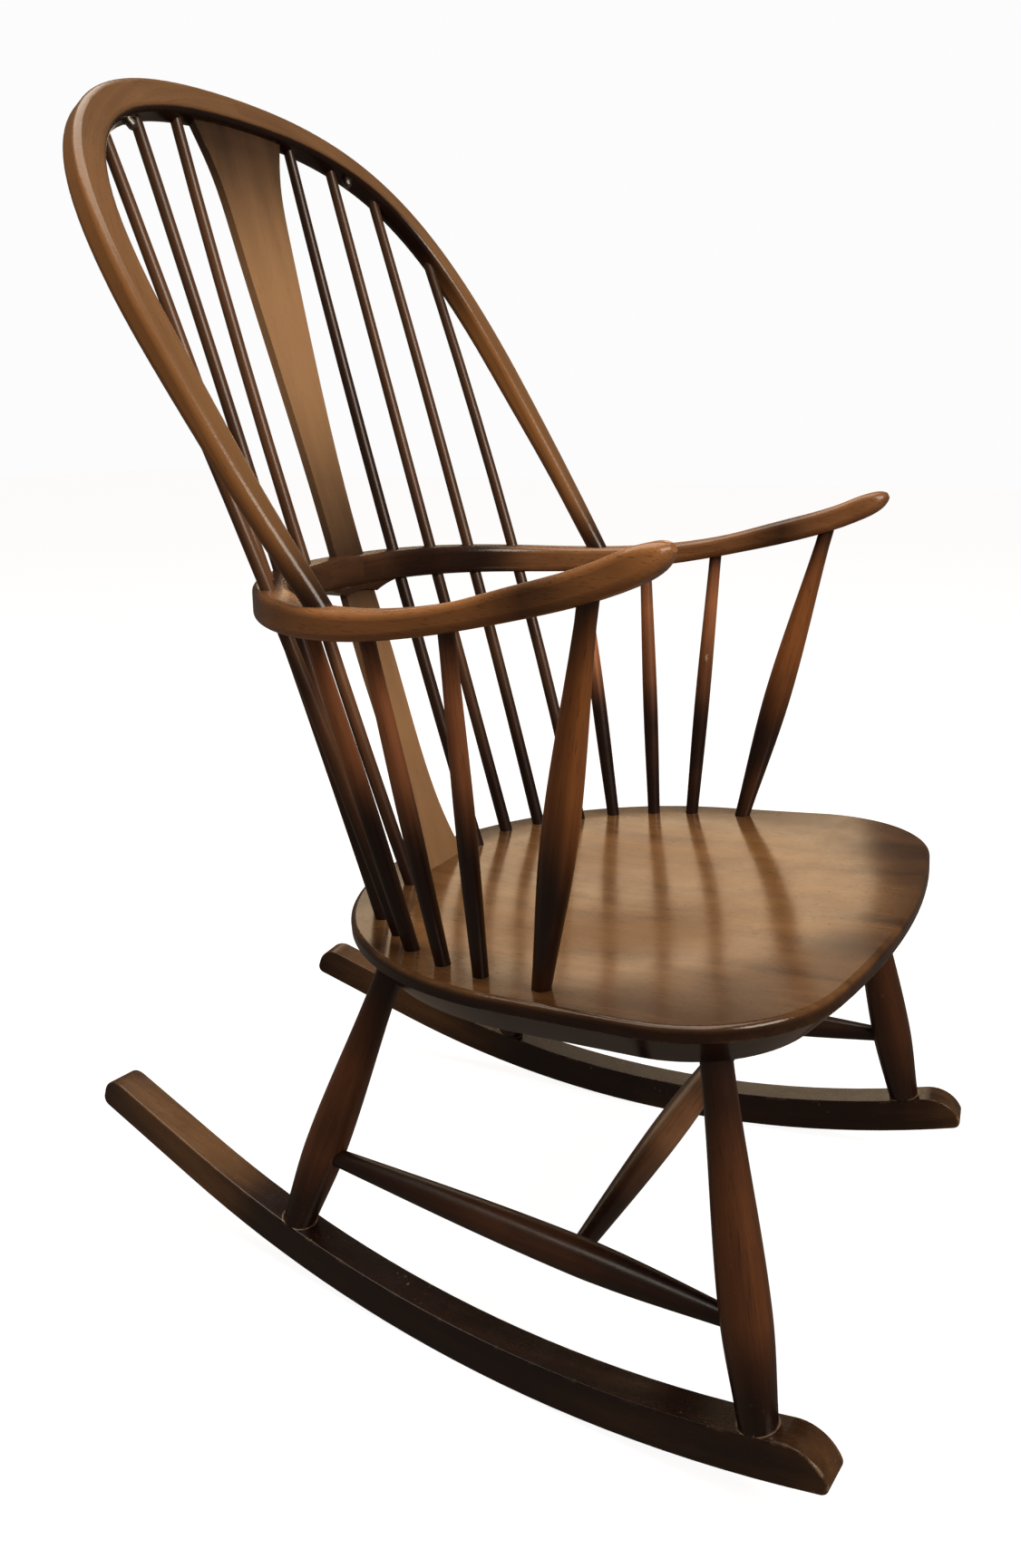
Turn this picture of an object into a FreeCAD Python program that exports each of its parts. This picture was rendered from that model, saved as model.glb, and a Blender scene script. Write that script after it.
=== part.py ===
import FreeCAD, Part
import math
import os

from FreeCAD import Vector

# Rocking armchair: one saddled seat board, a bent arm bow, a bent back hoop, a splat,
# turned sticks, supports, legs and stretchers, and two curved rocker blades.
# Frame: +Z up, the sitter faces -Y, +X is the sitter's left, z = 0 is the floor.
# All sizes are in millimetres and all angles in degrees.

# ---------------------------------------------------------------- driving dimensions
# Rocker blades
ROCKER_LENGTH = 774.0
ROCKER_WIDTH = 30.5
ROCKER_DEPTH = 35.0
ROCKER_RADIUS = 1029.0
ROCKER_TOE_IN = 6.25
ROCKER_SPREAD = 227.0
CONTACT_Y = -66.0
ROCKER_FRONT_ROUND = 31.0
ROCKER_REAR_ROUND = 20.0
ROCKER_HEEL_ROUND = 8.0
ROCKER_EASE = 1.5
ROCKER_TAIL = 128.0

# Seat board
SEAT_WIDTH = 522.5
SEAT_FLARE = 2.0
SEAT_DEPTH = 499.5
SEAT_REAR_Y = 146.2
SEAT_FRONT_HEIGHT = 377.6
SEAT_TILT = 4.4
SEAT_THICKNESS = 37.0
SEAT_CORNER_RADIUS = 120.0
SEAT_FRONT_SAG = 40.5
SEAT_EDGE_BAND = 11.5
SEAT_BEVEL_INSET = 22.0
SEAT_EDGE_ROUND = 5.0
DISH_DEPTH = 9.0
DISH_RIM = 34.0

# Arm bow
BOW_BACK_Y = 191.5
BOW_HALF_WIDTH = 272.0
BOW_SIDE_Y = -82.0
BOW_TIP_Y = -246.5
BOW_TIP_HALF_WIDTH = 288.5
BOW_FULLNESS = 0.685
BOW_SPLAY = 0.102
BOW_LOW_HEIGHT = 606.5
BOW_LOW_Y = 86.0
BOW_FRONT_RISE = 0.384
BOW_REAR_RISE = 0.202
BOW_RISE_EASE = 246.0
BOW_WIDTH = 30.0
HAND_WIDTH = 34.0
BOW_BACK_THICKNESS = 27.8
BOW_WAIST_THICKNESS = 19.2
BOW_WAIST_Y = -60.0
HAND_THICKNESS = 22.4
HAND_LENGTH = 80.0
HAND_LIFT = 9.5
BOW_EDGE_ROUND = 6.0
APRON_DROP = 8.0
APRON_HALF_WIDTH = 25.0

# Back hoop
HOOP_TILT = 33.7
HOOP_HALF_WIDTH = 257.7
HOOP_FOOT_HALF_WIDTH = 246.0
HOOP_HEIGHT = 474.4
HOOP_SHOULDER = 225.4
HOOP_FULLNESS = 0.74
HOOP_FOOT_Y = 45.0
HOOP_TOP_WIDTH = 30.0
HOOP_SWELL = 0.45
HOOP_TOP_DEPTH = 21.0
HOOP_FOOT_DIAMETER = 18.0
HOOP_TENON_DIAMETER = 13.0
HOOP_TENON_SHARE = 0.8

# Splat
SPLAT_THICKNESS = 8.0
SPLAT_TOP_HALF_WIDTH = 62.0
SPLAT_NECK_HALF_WIDTH = 37.3
SPLAT_BOW_HALF_WIDTH = 21.8
SPLAT_BELLY_HALF_WIDTH = 24.6
SPLAT_WAIST_HALF_WIDTH = 22.7
SPLAT_FOOT_HALF_WIDTH = 38.0
SPLAT_FOOT_Y = 98.0
SPLAT_HOOP_SEAT = 8.0

# Sticks: where each one stands on the seat, crosses the bow and enters the hoop
LONG_STICK_ANGLES = (17.0, 30.2, 39.8, 50.9)
LONG_STICK_INSETS = (46.7, 28.8, 29.0, 34.0)
LONG_STICK_BOW_SHARES = (0.263, 0.448, 0.605, 0.745)
LONG_STICK_HOOP_SHARES = (0.300, 0.518, 0.720, 0.905)
LONG_STICK_FOOT_DIAMETER = 12.9
LONG_STICK_TOP_DIAMETER = 10.0
ARM_STICK_ANGLES = (60.5, 71.4, 81.5)
ARM_STICK_INSET = 29.4
ARM_STICK_BOW_SHARES = (0.297, 0.449, 0.619)
ARM_STICK_DIAMETER = 15.5
ARM_STICK_END_DIAMETER = 12.8
SUPPORT_ANGLE = 94.9
SUPPORT_INSET = 26.2
SUPPORT_BOW_SHARE = 0.876
SUPPORT_DIAMETER = 26.5
SUPPORT_END_DIAMETER = 15.0

# Legs and stretchers: each leg's head is set in from the side and from the seat's end,
# and its foot stands a reach beyond the head along the rocker
FRONT_LEG_SIDE_INSET = 44.8
FRONT_LEG_END_INSET = 88.8
FRONT_LEG_REACH = 59.0
REAR_LEG_SIDE_INSET = 106.0
REAR_LEG_END_INSET = 97.2
REAR_LEG_REACH = 78.8
LEG_TOP_DIAMETER = 24.0
LEG_SWELL_DIAMETER = 38.5
LEG_FOOT_DIAMETER = 29.0
SIDE_STRETCHER_FRONT_HEIGHT = 140.0
SIDE_STRETCHER_REAR_HEIGHT = 122.5
SIDE_STRETCHER_DIAMETER = 30.3
STRETCHER_END_DIAMETER = 16.0
CROSS_STRETCHER_SHARE = 0.336
CROSS_STRETCHER_DIAMETER = 29.5

# Joints
SEAT_SOCKET_DEPTH = 14.0
LEG_SOCKET_DEPTH = 20.0
ROCKER_TENON_DIAMETER = 19.0
ROCKER_TENON_LENGTH = 20.0
STRETCHER_SOCKET_DEPTH = 15.0
CROSS_SOCKET_DEPTH = 10.0
GLUE_GAP = 0.08
SOCKET_FLOOR = 0.6

# Cushion studs on the inner face of the hoop
STUD_HOOP_SHARE = 0.605
STUD_DIAMETER = 8.0
STUD_POST_HEIGHT = 4.0
STUD_COLLAR_DIAMETER = 10.0
STUD_COLLAR_HEIGHT = 1.0
STUD_SHANK_DIAMETER = 4.0
STUD_SHANK_LENGTH = 9.0

# ---------------------------------------------------------------- small geometry helpers
UP = Vector(0, 0, 1)

def mirrored(point, side):
    """The point on the sitter's left (side 1) or right (side -1)."""
    return Vector(point.x * side, point.y, point.z)


def both_sides(shape):
    """A piece for the sitter's left and its mirror image for the right."""
    return {"left": shape, "right": shape.mirror(Vector(0, 0, 0), Vector(1, 0, 0))}


def blend(low, high, share):
    return low + (high - low) * share


def ease_in_out(share):
    """Share held between 0 and 1 and eased at both ends."""
    share = min(max(share, 0.0), 1.0)
    return share * share * (3 - 2 * share)


def bezier(points, t):
    """Point at t on the cubic whose four control points are given."""
    weights = ((1 - t) ** 3, 3 * t * (1 - t) ** 2, 3 * t * t * (1 - t), t ** 3)
    total = Vector(0, 0, 0)
    for weight, point in zip(weights, points):
        total = total + point * weight
    return total


def solve(function, target, low, high):
    """Parameter between low and high where a monotonic function meets the target."""
    rising = function(high) > function(low)
    for _ in range(50):
        middle = (low + high) / 2
        if (function(middle) < target) == rising:
            low = middle
        else:
            high = middle
    return (low + high) / 2


def placement(origin, z_axis, x_hint):
    """Placement whose local Z runs along z_axis and whose local X leans to x_hint."""
    z_axis = Vector(z_axis).normalize()
    x_axis = (x_hint - z_axis * x_hint.dot(z_axis)).normalize()
    y_axis = z_axis.cross(x_axis)
    turn = FreeCAD.Rotation(x_axis, y_axis, z_axis, "ZXY")
    return FreeCAD.Placement(origin, turn)


def turned(start, end, knots, lift):
    """Lathe-turned piece from start to end through (share of length, radius) knots.

    Each curved stretch runs flat into its thicker knot; lift says how steeply it leaves
    the thinner one, from 0 for flat up to 1.
    """
    axis = end - start
    points = [Vector(radius, 0, share * axis.Length) for share, radius in knots]
    low = Vector(0, 0, points[0].z)
    high = Vector(0, 0, points[-1].z)
    edges = [Part.makeLine(low, points[0])]
    for below, above in zip(points, points[1:]):
        if abs(below.x - above.x) < 0.001:
            edges.append(Part.makeLine(below, above))
            continue
        reach = (above.z - below.z) / 3
        thick = max(below.x, above.x)
        curve = Part.BezierCurve()
        curve.setPoles([below, Vector(blend(below.x, thick, lift), 0, below.z + reach),
                        Vector(blend(above.x, thick, lift), 0, above.z - reach), above])
        edges.append(curve.toShape())
    edges += [Part.makeLine(points[-1], high), Part.makeLine(high, low)]
    face = Part.Face(Part.Wire(edges))
    solid = face.revolve(Vector(0, 0, 0), UP, 360)
    solid.Placement = FreeCAD.Placement(start, FreeCAD.Rotation(UP, axis))
    return solid


def rod(start, end, radius):
    """Plain round rod between two points."""
    return Part.makeCylinder(radius, (end - start).Length, start, end - start)


class BentPath:
    """Smooth path through a foot, a crossing point and a top, as a bent stick takes."""

    def __init__(self, foot, crossing, top):
        self.points = (foot, crossing, top)
        lower = (crossing - foot).Length
        self.middle = lower / (lower + (top - crossing).Length)
        self.length = lower + (top - crossing).Length

    def at(self, t):
        m = self.middle
        weights = ((t - m) * (t - 1) / m, t * (t - 1) / (m * (m - 1)), t * (t - m) / (1 - m))
        total = Vector(0, 0, 0)
        for weight, point in zip(weights, self.points):
            total = total + point * weight
        return total

    def direction(self, t):
        step = 0.001
        return (self.at(t + step) - self.at(t - step)).normalize()


def bent_rod(path, start, end, radius_at, growth):
    """Round tapering stick along a bent path between two path shares."""
    stations = 11
    wires = []
    for index in range(stations):
        t = blend(start, end, index / (stations - 1))
        circle = Part.Circle(path.at(t), path.direction(t), radius_at(t) + growth)
        wires.append(Part.Wire(circle.toShape()))
    return Part.makeLoft(wires, True, True)


def rounded_section(origin, along, across, width, height, corner):
    """Closed rounded rectangle: width lies on across, height stands at right angles."""
    w = width / 2
    h = height / 2
    r = min(corner, 0.96 * w, 0.96 * h)
    bend = r * (1 - math.sqrt(0.5))
    edges = []
    corners = ((1, -1), (1, 1), (-1, 1), (-1, -1))
    for index, (sx, sy) in enumerate(corners):
        before = Vector(sx * w, sy * (h - r), 0)
        after = Vector(sx * (w - r), sy * h, 0)
        if sx * sy < 0:
            before, after = after, before
        middle = Vector(sx * (w - bend), sy * (h - bend), 0)
        edges.append(Part.Arc(before, middle, after).toShape())
        nx, ny = corners[(index + 1) % 4]
        if ny != sy:
            following = Vector(nx * w, ny * (h - r), 0)
        else:
            following = Vector(nx * (w - r), ny * h, 0)
        edges.append(Part.makeLine(after, following))
    wire = Part.Wire(edges)
    wire.Placement = placement(origin, along, across)
    return wire


# ---------------------------------------------------------------- seat
SEAT_HALF_WIDTH = SEAT_WIDTH / 2
SEAT_FRONT_Y = SEAT_REAR_Y - SEAT_DEPTH
SEAT_CENTRE_Y = SEAT_REAR_Y - SEAT_HALF_WIDTH
SEAT_SLOPE = math.tan(math.radians(SEAT_TILT))


def seat_height(y):
    """Height of the untouched top plane of the seat at y."""
    return SEAT_FRONT_HEIGHT - (y - SEAT_FRONT_Y) * SEAT_SLOPE


def seat_outline(inset):
    """Plan outline: round behind, sides flaring forward and a gently bowed front."""
    radius = SEAT_HALF_WIDTH - inset
    flare = math.radians(SEAT_FLARE)
    side_x = radius * math.cos(flare)
    side_y = SEAT_CENTRE_Y + radius * math.sin(flare)
    front = SEAT_FRONT_Y + inset
    corner_y = front + SEAT_FRONT_SAG
    corner_x = side_x + (side_y - corner_y) * math.tan(flare)
    rear = Part.Arc(Vector(side_x, side_y, 0), Vector(0, SEAT_REAR_Y - inset, 0),
                    Vector(-side_x, side_y, 0))
    bow = Part.Arc(Vector(-corner_x, corner_y, 0), Vector(0, front, 0),
                   Vector(corner_x, corner_y, 0))
    left = Part.makeLine(Vector(-side_x, side_y, 0), Vector(-corner_x, corner_y, 0))
    right = Part.makeLine(Vector(corner_x, corner_y, 0), Vector(side_x, side_y, 0))
    return Part.Wire([rear.toShape(), left, bow.toShape(), right])


def seat_slab(inset, low, high):
    """Board between two depths, measured from the top plane, with rounded corners."""
    slab = Part.Face(seat_outline(inset)).extrude(Vector(0, 0, high - low))
    corner = SEAT_FRONT_Y + inset + SEAT_FRONT_SAG
    uprights = [edge for edge in slab.Edges
                if abs(edge.BoundBox.ZLength - (high - low)) < 0.01
                and abs(edge.BoundBox.YMin - corner) < 0.01]
    slab = slab.makeFillet(SEAT_CORNER_RADIUS - inset, uprights)
    slab.translate(Vector(0, 0, low))
    return slab


def dish_tool():
    """Block whose smooth hollow underside leaves the saddle of the seat."""
    reach = 1.12
    count = 15
    rows = []
    middle_y = (SEAT_FRONT_Y + SEAT_REAR_Y) / 2
    half_x = SEAT_HALF_WIDTH
    half_y = SEAT_DEPTH / 2
    inner = 1 - DISH_RIM / SEAT_HALF_WIDTH
    for i in range(count):
        row = []
        for j in range(count):
            u = reach * (2 * i / (count - 1) - 1)
            v = reach * (2 * j / (count - 1) - 1)
            radius = math.hypot(u, v) / inner
            depth = DISH_DEPTH * (1 - radius ** 2) ** 2 if radius < 1 else 0
            row.append(Vector(u * half_x, middle_y + v * half_y, -depth))
        rows.append(row)
    surface = Part.BSplineSurface()
    surface.interpolate(rows)
    return surface.toShape().extrude(Vector(0, 0, SEAT_THICKNESS))


def seat_blank():
    """Saddled seat board with a rounded top edge and a bevelled underside."""
    upper = seat_slab(0, -SEAT_EDGE_BAND, SEAT_EDGE_ROUND)
    lower_wires = []
    for inset, depth in ((0, -SEAT_EDGE_BAND), (SEAT_BEVEL_INSET, -SEAT_THICKNESS)):
        slab = seat_slab(inset, depth, depth + 1)
        bottom = [face for face in slab.Faces
                  if face.BoundBox.ZLength < 0.001 and abs(face.BoundBox.ZMin - depth) < 0.001]
        lower_wires.append(bottom[0].OuterWire)
    lower = Part.makeLoft(lower_wires, True, True)
    board = upper.fuse(lower).removeSplitter()
    board = board.cut(dish_tool())
    rim = [edge for edge in board.Edges if edge.BoundBox.ZMin > -SEAT_EDGE_BAND + 1]
    board = board.makeFillet(SEAT_EDGE_ROUND, rim)
    tilt = FreeCAD.Rotation(Vector(1, 0, 0), -SEAT_TILT)
    pivot = Vector(0, SEAT_FRONT_Y, 0)
    lift = Vector(0, 0, SEAT_FRONT_HEIGHT)
    board.Placement = FreeCAD.Placement(lift, tilt, pivot).multiply(board.Placement)
    return board


def seat_foot(angle, inset):
    """Point on the seat top, at an angle round the rear circle, for the left side."""
    radius = SEAT_HALF_WIDTH - inset
    x = radius * math.sin(math.radians(angle))
    y = SEAT_CENTRE_Y + radius * math.cos(math.radians(angle))
    return Vector(x, y, seat_height(y))


# ---------------------------------------------------------------- arm bow
def bow_back_curve():
    """Plan of the bow from the middle of the back to the side, left half."""
    pull = BOW_FULLNESS * (BOW_BACK_Y - BOW_SIDE_Y)
    return (Vector(0, BOW_BACK_Y, 0),
            Vector(BOW_FULLNESS * BOW_HALF_WIDTH, BOW_BACK_Y, 0),
            Vector(BOW_HALF_WIDTH - BOW_SPLAY * pull, BOW_SIDE_Y + pull, 0),
            Vector(BOW_HALF_WIDTH, BOW_SIDE_Y, 0))


def bow_arm_curve():
    """Plan of the arm from the side to the hand end, left half."""
    third = (BOW_SIDE_Y - BOW_TIP_Y) / 3
    return (Vector(BOW_HALF_WIDTH, BOW_SIDE_Y, 0),
            Vector(BOW_HALF_WIDTH + BOW_SPLAY * third, BOW_SIDE_Y - third, 0),
            Vector(BOW_TIP_HALF_WIDTH, BOW_TIP_Y + third, 0),
            Vector(BOW_TIP_HALF_WIDTH, BOW_TIP_Y, 0))


def bow_plan(t):
    """Plan point: t runs 0 to 1 round the back and 1 to 2 along the arm."""
    if t <= 1:
        return bezier(bow_back_curve(), t)
    return bezier(bow_arm_curve(), t - 1)


def bow_underside(y):
    """Height of the bow's underside: lowest behind the hoop's feet, lifted at the hands."""
    run = math.hypot(y - BOW_LOW_Y, BOW_RISE_EASE) - BOW_RISE_EASE
    rise = BOW_FRONT_RISE if y < BOW_LOW_Y else BOW_REAR_RISE
    hand = max(BOW_TIP_Y + HAND_LENGTH - y, 0) / HAND_LENGTH
    return BOW_LOW_HEIGHT + rise * run + HAND_LIFT * hand ** 2


def bow_thickness(y):
    """The bow is deepest at the back, slimmest beside the sitter, fuller at the hands."""
    if y > BOW_WAIST_Y:
        share = (y - BOW_WAIST_Y) / (BOW_BACK_Y - BOW_WAIST_Y)
        return blend(BOW_WAIST_THICKNESS, BOW_BACK_THICKNESS, ease_in_out(share) ** 0.6)
    share = (BOW_WAIST_Y - y) / (BOW_WAIST_Y - BOW_TIP_Y - HAND_LENGTH)
    return blend(BOW_WAIST_THICKNESS, HAND_THICKNESS, ease_in_out(share))


def bow_centre(t):
    """Centre of the bow's section at t, left half."""
    plan = bow_plan(t)
    return Vector(plan.x, plan.y, bow_underside(plan.y) + bow_thickness(plan.y) / 2)


def bow_section(t):
    """Section of the bow at t, negative t being the right half."""
    side = -1 if t < 0 else 1
    step = 0.002
    centre = bow_centre(abs(t))
    after = bow_centre(min(abs(t) + step, 2))
    before = bow_centre(max(abs(t) - step, 0))
    along = (after - before).normalize()
    if abs(t) < step:
        along = Vector(1, 0, 0)
    across = along.cross(UP).normalize()
    share = max(abs(t) - 1, 0)
    width = blend(BOW_WIDTH, HAND_WIDTH, math.sin(math.pi * min(share, 1) / 2) ** 2)
    height = bow_thickness(centre.y)
    tip = max(share - 0.84, 0) / 0.16
    round_off = math.sqrt(max(1 - 0.93 * tip ** 2, 0))
    along = Vector(along.x, along.y * side, along.z * side)
    across = Vector(across.x * side, across.y, across.z)
    return rounded_section(mirrored(centre, side), along, across, width * round_off,
                           height * round_off, BOW_EDGE_ROUND)


def bow_apron():
    """Deeper middle of the back rail, with a point each side of the splat."""
    drop = APRON_DROP
    half = APRON_HALF_WIDTH
    underside = bow_underside(BOW_BACK_Y)
    top = underside + BOW_BACK_THICKNESS / 2
    reach = 2.9 * half
    edges = [Part.makeLine(Vector(-reach, 0, top), Vector(-reach, 0, underside + 2))]
    for side in (-1, 1):
        outer = Vector(side * reach, 0, underside + 2)
        point = Vector(side * half, 0, underside - drop)
        scoop = Vector(side * 1.75 * half, 0, underside - 0.25 * drop)
        edges.append(Part.Arc(outer, scoop, point).toShape())
    edges.append(Part.Arc(Vector(-half, 0, underside - drop), Vector(0, 0, underside - 0.55 * drop),
                          Vector(half, 0, underside - drop)).toShape())
    edges.append(Part.makeLine(Vector(reach, 0, underside + 2), Vector(reach, 0, top)))
    edges.append(Part.makeLine(Vector(reach, 0, top), Vector(-reach, 0, top)))
    wire = Part.Wire(Part.sortEdges(edges)[0])
    front_view = Part.Face(wire).extrude(Vector(0, 2 * BOW_BACK_Y, 0))
    count = 9
    inner = []
    outer = []
    for index in range(count):
        t = 0.55 * (2 * index / (count - 1) - 1)
        plan = bow_plan(abs(t))
        ahead = bow_plan(abs(t) + 0.01)
        along = (ahead - plan).normalize()
        across = along.cross(UP)
        side = -1 if t < 0 else 1
        half_width = BOW_WIDTH / 2 - BOW_EDGE_ROUND / 2
        for points, offset in ((inner, -half_width), (outer, half_width)):
            spot = plan + across * offset
            points.append(Vector(spot.x * side, spot.y, 0))
    curves = []
    for points in (inner, outer):
        curve = Part.BSplineCurve()
        curve.interpolate(points)
        curves.append(curve.toShape())
    ends = [Part.makeLine(inner[0], outer[0]), Part.makeLine(inner[-1], outer[-1])]
    band = Part.Face(Part.Wire(Part.sortEdges(curves + ends)[0]))
    plan_band = band.extrude(Vector(0, 0, 2 * BOW_LOW_HEIGHT))
    return front_view.common(plan_band)


def bow_blank():
    """The bent bow before its sockets are bored."""
    half = [0.0, 0.16, 0.32, 0.48, 0.64, 0.8, 1.0, 1.25, 1.5, 1.72, 1.84, 1.92, 1.97, 2.0]
    stations = [-t for t in reversed(half[1:])] + half
    body = Part.makeLoft([bow_section(t) for t in stations], True, False)
    return body.fuse(bow_apron())


def bow_share_of_width(share):
    """Bow parameter where the back curve has reached a share of its half width."""
    return solve(lambda t: bow_plan(t).x, share * BOW_HALF_WIDTH, 0, 1)


def bow_share_of_depth(share):
    """Bow parameter at a share of the way from the back to the hand ends."""
    return solve(lambda t: bow_plan(t).y, blend(BOW_BACK_Y, BOW_TIP_Y, share), 0, 2)


# ---------------------------------------------------------------- back hoop
HOOP_UP = Vector(0, math.sin(math.radians(HOOP_TILT)), math.cos(math.radians(HOOP_TILT)))
HOOP_NORMAL = Vector(1, 0, 0).cross(HOOP_UP)


def hoop_foot():
    """Where the centre line of the hoop's left leg meets the top of the bow."""
    top = bow_underside(HOOP_FOOT_Y) + bow_thickness(HOOP_FOOT_Y)
    return Vector(HOOP_FOOT_HALF_WIDTH, HOOP_FOOT_Y, top)


def hoop_centre(t):
    """Centre line, left half: 0 to 1 up the leg, 1 to 2 round to the crown."""
    foot = hoop_foot()
    base = Vector(0, foot.y, foot.z)
    if t <= 1:
        lift = t * HOOP_SHOULDER
        lean = 1 - (1 - t) ** 2
        x = blend(HOOP_FOOT_HALF_WIDTH, HOOP_HALF_WIDTH, lean)
        return base + Vector(x, 0, 0) + HOOP_UP * lift
    half = HOOP_HALF_WIDTH
    arch = HOOP_HEIGHT - HOOP_SHOULDER
    plane = (Vector(half, 0, 0), Vector(half, HOOP_FULLNESS * arch, 0),
             Vector(HOOP_FULLNESS * half, arch, 0), Vector(0, arch, 0))
    spot = bezier(plane, t - 1)
    return base + Vector(spot.x, 0, 0) + HOOP_UP * (HOOP_SHOULDER + spot.y)


def hoop_direction(t):
    step = 0.002
    if t > 2 - step:
        return Vector(-1, 0, 0)
    return (hoop_centre(t + step) - hoop_centre(t - step)).normalize()


def hoop_width(t):
    """Width of the hoop across its plane, growing from the foot to the crown."""
    return blend(HOOP_FOOT_DIAMETER, HOOP_TOP_WIDTH, max(t / 2, 0) ** HOOP_SWELL)


def hoop_section(t, side):
    """Section at t: round at the foot, a flat broad band at the crown."""
    share = ease_in_out(t / 1.35)
    width = hoop_width(t)
    depth = blend(HOOP_FOOT_DIAMETER, HOOP_TOP_DEPTH, share)
    corner = blend(HOOP_FOOT_DIAMETER / 2, 0.26 * HOOP_TOP_DEPTH, share)
    along = hoop_direction(t)
    outward = along.cross(HOOP_NORMAL)
    centre = hoop_centre(t)
    along = Vector(along.x, along.y * side, along.z * side)
    outward = Vector(outward.x * side, outward.y, outward.z)
    return rounded_section(mirrored(centre, side), along, outward, width, depth, corner)


def hoop_blank():
    """The bent hoop, running a little past its feet to be fitted to the bow."""
    overrun = -0.6 * HOOP_FOOT_DIAMETER / HOOP_SHOULDER
    half = [overrun, 0.3, 0.65, 1.0, 1.15, 1.3, 1.45, 1.6, 1.75, 1.88, 2.0]
    wires = [hoop_section(t, 1) for t in half]
    wires += [hoop_section(t, -1) for t in reversed(half[:-1])]
    return Part.makeLoft(wires, True, False)


def hoop_tenon(growth, floor):
    """Round tenon that carries the hoop's left foot into the bow."""
    foot = hoop_foot()
    down = hoop_direction(0) * -1
    length = HOOP_TENON_SHARE * bow_thickness(HOOP_FOOT_Y) + floor
    return rod(foot - down * 3, foot + down * length, HOOP_TENON_DIAMETER / 2 + growth)


def hoop_share_of_width(share):
    """Hoop parameter where the arch has narrowed to a share of its half width."""
    return solve(lambda t: hoop_centre(t).x, share * HOOP_HALF_WIDTH, 1, 2)


# ---------------------------------------------------------------- splat
def splat_path():
    foot = Vector(0, SPLAT_FOOT_Y, seat_height(SPLAT_FOOT_Y))
    crossing = bow_centre(0)
    crown = hoop_centre(2) - HOOP_UP * (HOOP_TOP_WIDTH / 2 - SPLAT_HOOP_SEAT)
    return BentPath(foot, crossing, crown)


def splat_solid(growth, floor):
    """Bent board: a curved sheet trimmed to the splat's outline."""
    path = splat_path()
    start = -(SEAT_SOCKET_DEPTH + floor) / path.length
    finish = 1 + floor / path.length
    half = SPLAT_THICKNESS / 2 + growth
    faces = []
    for offset in (-half, half):
        points = []
        for index in range(9):
            t = blend(start, finish, index / 8)
            heading = path.direction(t)
            square = Vector(0, heading.z, -heading.y)
            points.append(path.at(t) + square * offset)
        curve = Part.BSplineCurve()
        curve.interpolate(points)
        faces.append((curve.toShape(), points[0], points[-1]))
    ends = [Part.makeLine(faces[0][1], faces[1][1]), Part.makeLine(faces[0][2], faces[1][2])]
    ring = Part.Wire(Part.sortEdges([faces[0][0], faces[1][0]] + ends)[0])
    reach = 1.5 * SPLAT_TOP_HALF_WIDTH
    sheet = Part.Face(ring).extrude(Vector(2 * reach, 0, 0))
    sheet.translate(Vector(-reach, 0, 0))
    foot = path.at(0)
    crown = path.at(1)
    rise = crown.z - foot.z
    stations = ((-0.08, SPLAT_FOOT_HALF_WIDTH + 6), (0, SPLAT_FOOT_HALF_WIDTH),
                (0.055, 0.75 * SPLAT_FOOT_HALF_WIDTH), (0.15, SPLAT_WAIST_HALF_WIDTH),
                (0.3, SPLAT_BELLY_HALF_WIDTH), (0.43, SPLAT_BOW_HALF_WIDTH),
                (0.66, blend(SPLAT_BOW_HALF_WIDTH, SPLAT_NECK_HALF_WIDTH, 0.34)),
                (0.85, SPLAT_NECK_HALF_WIDTH),
                (0.93, blend(SPLAT_NECK_HALF_WIDTH, SPLAT_TOP_HALF_WIDTH, 0.29)),
                (1.0, SPLAT_TOP_HALF_WIDTH), (1.06, SPLAT_TOP_HALF_WIDTH + 11))
    edges = []
    for side in (-1, 1):
        points = [Vector(side * (width + growth), 0, foot.z + share * rise)
                  for share, width in stations]
        curve = Part.BSplineCurve()
        curve.interpolate(points)
        edges.append((curve.toShape(), points[0], points[-1]))
    caps = [Part.makeLine(edges[0][1], edges[1][1]), Part.makeLine(edges[0][2], edges[1][2])]
    outline = Part.Wire(Part.sortEdges([edges[0][0], edges[1][0]] + caps)[0])
    front_view = Part.Face(outline).extrude(Vector(0, 2 * crown.y, 0))
    return sheet.common(front_view)


# ---------------------------------------------------------------- sticks and supports
def long_stick(index, growth, floor):
    """Bent back stick of the left side, from the seat through the bow into the hoop."""
    foot = seat_foot(LONG_STICK_ANGLES[index], LONG_STICK_INSETS[index])
    crossing = bow_centre(bow_share_of_width(LONG_STICK_BOW_SHARES[index]))
    top = hoop_centre(hoop_share_of_width(LONG_STICK_HOOP_SHARES[index]))
    path = BentPath(foot, crossing, top)
    start = -(SEAT_SOCKET_DEPTH + floor) / path.length
    finish = 1 + floor / path.length
    foot_radius = LONG_STICK_FOOT_DIAMETER / 2
    top_radius = LONG_STICK_TOP_DIAMETER / 2
    return bent_rod(path, start, finish, lambda t: blend(foot_radius, top_radius, t), growth)


def arm_post(foot, top, end_diameter, diameter, growth, floor):
    """Turned stick from a seat socket to a bow socket, swelled below its middle."""
    heading = (top - foot).normalize()
    start = foot - heading * (SEAT_SOCKET_DEPTH + floor)
    end = top + heading * floor
    total = (end - start).Length
    shoulder = (SEAT_SOCKET_DEPTH + floor) / total
    ends = end_diameter / 2 + growth
    swell = diameter / 2 + growth
    knots = ((0, ends), (shoulder, ends), (0.44, swell), (0.92, 0.95 * ends), (1, 0.95 * ends))
    return turned(start, end, knots, 0.3)


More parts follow.
